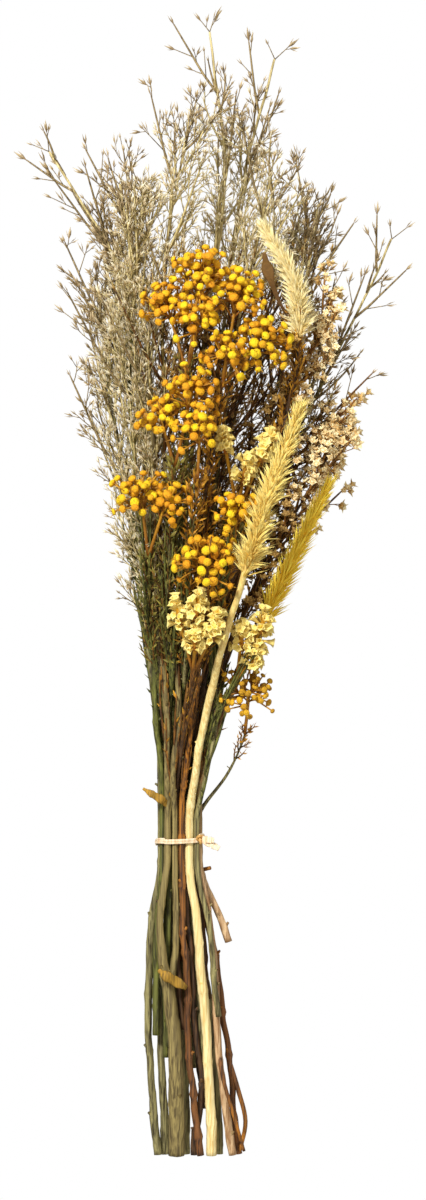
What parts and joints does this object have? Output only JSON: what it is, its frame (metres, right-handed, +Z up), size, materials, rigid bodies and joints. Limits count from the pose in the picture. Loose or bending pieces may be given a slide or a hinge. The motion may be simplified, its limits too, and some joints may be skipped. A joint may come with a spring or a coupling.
{
  "type": "dried flower bouquet",
  "caption": "Hand-tied bouquet of dried flowers lying flat: button flowers, feathery spikes, papery heads and sea lavender sprays on long cut stems, bound with raffia.",
  "frame": {"origin": "middle of the bouquet's footprint, on the surface that it lies on", "axes": "+Y along the stems from the cut feet to the flowers, +X to the right seen from above, +Z up from the surface"},
  "size_m": [0.1998, 0.5974, 0.1118],
  "materials": {
    "sea_lavender": "dry grey-green twigs, matt",
    "beige_spray": "dry brown twigs with beige papery florets, matt",
    "cream_spike": "dry straw, slightly silky",
    "golden_spike": "dry golden bristles, slightly silky",
    "cream_statice": "papery florets, matt",
    "button_flower": "dry saturated yellow buttons on olive stalks, matt",
    "bare_stem": "dry tan bark, matt",
    "raffia": "dry pale raffia strip"
  },
  "bodies": {
    "root": {"sea_lavender_1": "sea_lavender", "sea_lavender_2": "sea_lavender", "sea_lavender_3": "sea_lavender", "sea_lavender_4": "sea_lavender", "sea_lavender_5": "sea_lavender", "sea_lavender_7": "sea_lavender", "sea_lavender_8": "sea_lavender", "sea_lavender_9": "sea_lavender", "sea_lavender_10": "sea_lavender", "sea_lavender_11": "sea_lavender", "sea_lavender_12": "sea_lavender", "beige_spray_1": "beige_spray", "beige_spray_2": "beige_spray", "beige_spray_3": "beige_spray", "cream_spike_1": "cream_spike", "cream_spike_2": "cream_spike", "golden_spike": "golden_spike", "button_flower_1": "button_flower", "button_flower_2": "button_flower", "button_flower_3": "button_flower", "button_flower_4": "button_flower", "button_flower_5": "button_flower", "button_flower_6": "button_flower", "button_flower_7": "button_flower", "button_flower_8": "button_flower", "cream_statice_1": "cream_statice", "cream_statice_2": "cream_statice", "cream_statice_3": "cream_statice", "bare_stem_short": "bare_stem", "bare_stem_long": "bare_stem", "raffia_tie": "raffia"}
  },
  "joints": []
}
